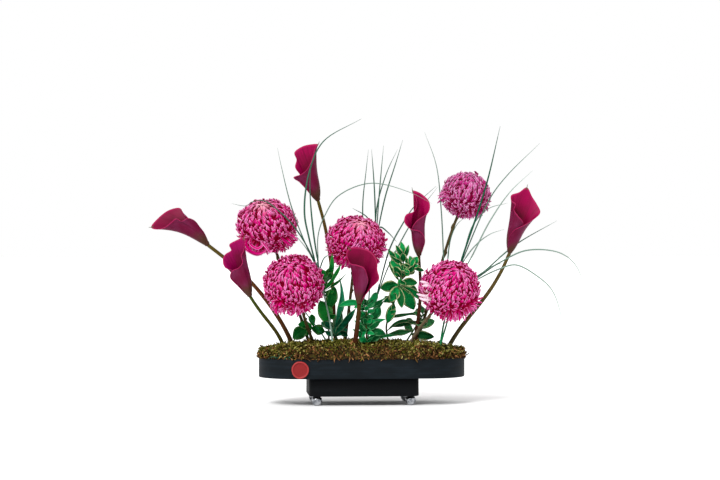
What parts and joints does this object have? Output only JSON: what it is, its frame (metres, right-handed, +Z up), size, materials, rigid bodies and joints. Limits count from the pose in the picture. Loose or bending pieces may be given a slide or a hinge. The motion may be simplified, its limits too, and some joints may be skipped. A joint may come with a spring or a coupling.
{
  "type": "ikebana flower arrangement",
  "caption": "Low ikebana arrangement: dark callas, ball chrysanthemums, leaf sprays and grass rising through moss from a stadium-shaped bowl on a ball-footed pedestal.",
  "frame": {"origin": "under the bowl's centre, on the surface that the ball feet stand on; the flowers reach equally far to both sides and to front and back of it", "axes": "+Z up; +X along the bowl's long side, to the viewer's right in the picture; -Y towards the front, where the round seal is"},
  "size_m": [0.783, 0.2065, 0.528],
  "materials": {
    "bowl": "satin",
    "pedestal": "satin",
    "foot_ball": "polished",
    "foot_collar": "satin",
    "seal": "satin",
    "foam": "matte",
    "moss": "matte",
    "spathe": "satin",
    "spadix": "matte",
    "calla_stem": "satin",
    "chrysanthemum_stem": "matte",
    "petals": "matte",
    "pale_petals": "matte",
    "leaves": "satin",
    "grass": "satin"
  },
  "bodies": {
    "root": {"blade_low": "grass", "bowl": "bowl", "calla_far_left_spadix": "spadix", "calla_far_left_spathe": "spathe", "calla_far_left_stem": "calla_stem", "calla_far_right_spadix": "spadix", "calla_far_right_spathe": "spathe", "calla_far_right_stem": "calla_stem", "calla_front_spadix": "spadix", "calla_front_spathe": "spathe", "calla_front_stem": "calla_stem", "calla_left_spadix": "spadix", "calla_left_spathe": "spathe", "calla_left_stem": "calla_stem", "calla_right_spadix": "spadix", "calla_right_spathe": "spathe", "calla_right_stem": "calla_stem", "calla_top_spadix": "spadix", "calla_top_spathe": "spathe", "calla_top_stem": "calla_stem", "chrysanthemum_lower_left_head": "petals", "chrysanthemum_lower_left_stem": "chrysanthemum_stem", "chrysanthemum_lower_right_head": "petals", "chrysanthemum_lower_right_stem": "chrysanthemum_stem", "chrysanthemum_middle_head": "petals", "chrysanthemum_middle_stem": "chrysanthemum_stem", "chrysanthemum_upper_left_head": "petals", "chrysanthemum_upper_left_stem": "chrysanthemum_stem", "chrysanthemum_upper_right_head": "pale_petals", "chrysanthemum_upper_right_stem": "chrysanthemum_stem", "foam": "foam", "foot_ball_1": "foot_ball", "foot_ball_2": "foot_ball", "foot_ball_3": "foot_ball", "foot_ball_4": "foot_ball", "foot_collar_1": "foot_collar", "foot_collar_2": "foot_collar", "foot_collar_3": "foot_collar", "foot_collar_4": "foot_collar", "moss": "moss", "pedestal": "pedestal", "seal": "seal", "spray_centre": "leaves", "spray_left": "leaves", "spray_low": "leaves", "spray_mid": "leaves", "spray_right": "leaves", "tuft_centre": "grass", "tuft_left": "grass", "tuft_right": "grass", "tuft_slanting": "grass"}
  },
  "joints": []
}
